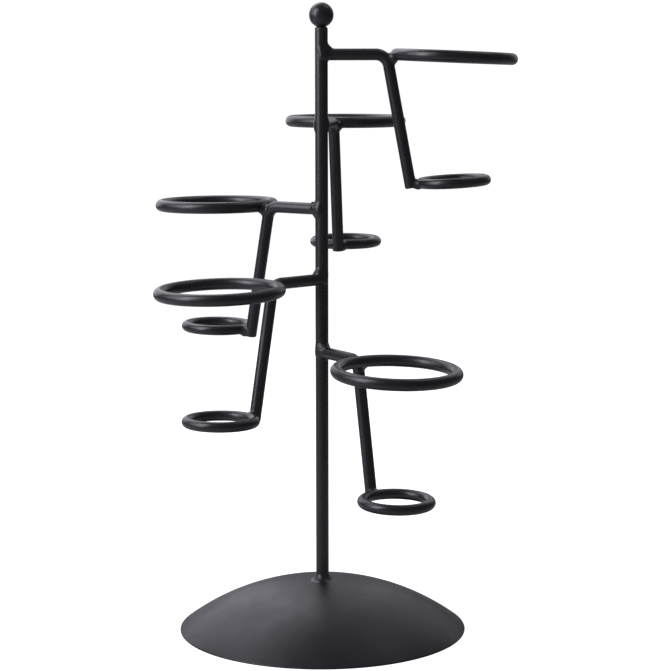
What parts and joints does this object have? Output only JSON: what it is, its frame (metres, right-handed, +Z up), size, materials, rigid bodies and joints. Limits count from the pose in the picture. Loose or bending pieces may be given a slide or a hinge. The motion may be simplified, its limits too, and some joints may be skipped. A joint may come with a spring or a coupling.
{
  "type": "mug tree",
  "caption": "Free-standing steel stand: a post on a domed base carries welded arms in a spiral, each with a wide ring over a small coaxial ring that hold a tapered mug upright.",
  "frame": {"origin": "centre of the base's rim, on the table", "axes": "+Z up the post; +X about 8 degrees clockwise, seen from above, of the highest arm"},
  "size_m": [0.2323, 0.234, 0.4],
  "materials": {
    "base_coat": "satin black powder coat on bare steel, on spun sheet",
    "rod_coat": "satin black powder coat on bare steel, on round bar",
    "ring_coat": "satin black powder coat on bare steel, on bent wire",
    "weld_bead": "satin black powder coat on bare steel, over rippled weld"
  },
  "bodies": {
    "root": {"base_dome": "base_coat", "post": "rod_coat", "ball_finial": "rod_coat", "post_weld": "weld_bead", "arm_1": "rod_coat", "mug_ring_1": "ring_coat", "foot_ring_1": "ring_coat", "arm_weld_1": "weld_bead", "mug_ring_weld_1": "weld_bead", "foot_ring_weld_1": "weld_bead", "arm_2": "rod_coat", "mug_ring_2": "ring_coat", "foot_ring_2": "ring_coat", "arm_weld_2": "weld_bead", "mug_ring_weld_2": "weld_bead", "foot_ring_weld_2": "weld_bead", "arm_3": "rod_coat", "mug_ring_3": "ring_coat", "foot_ring_3": "ring_coat", "arm_weld_3": "weld_bead", "mug_ring_weld_3": "weld_bead", "foot_ring_weld_3": "weld_bead", "arm_4": "rod_coat", "mug_ring_4": "ring_coat", "foot_ring_4": "ring_coat", "arm_weld_4": "weld_bead", "mug_ring_weld_4": "weld_bead", "foot_ring_weld_4": "weld_bead", "arm_5": "rod_coat", "mug_ring_5": "ring_coat", "foot_ring_5": "ring_coat", "arm_weld_5": "weld_bead", "mug_ring_weld_5": "weld_bead", "foot_ring_weld_5": "weld_bead"}
  },
  "joints": []
}
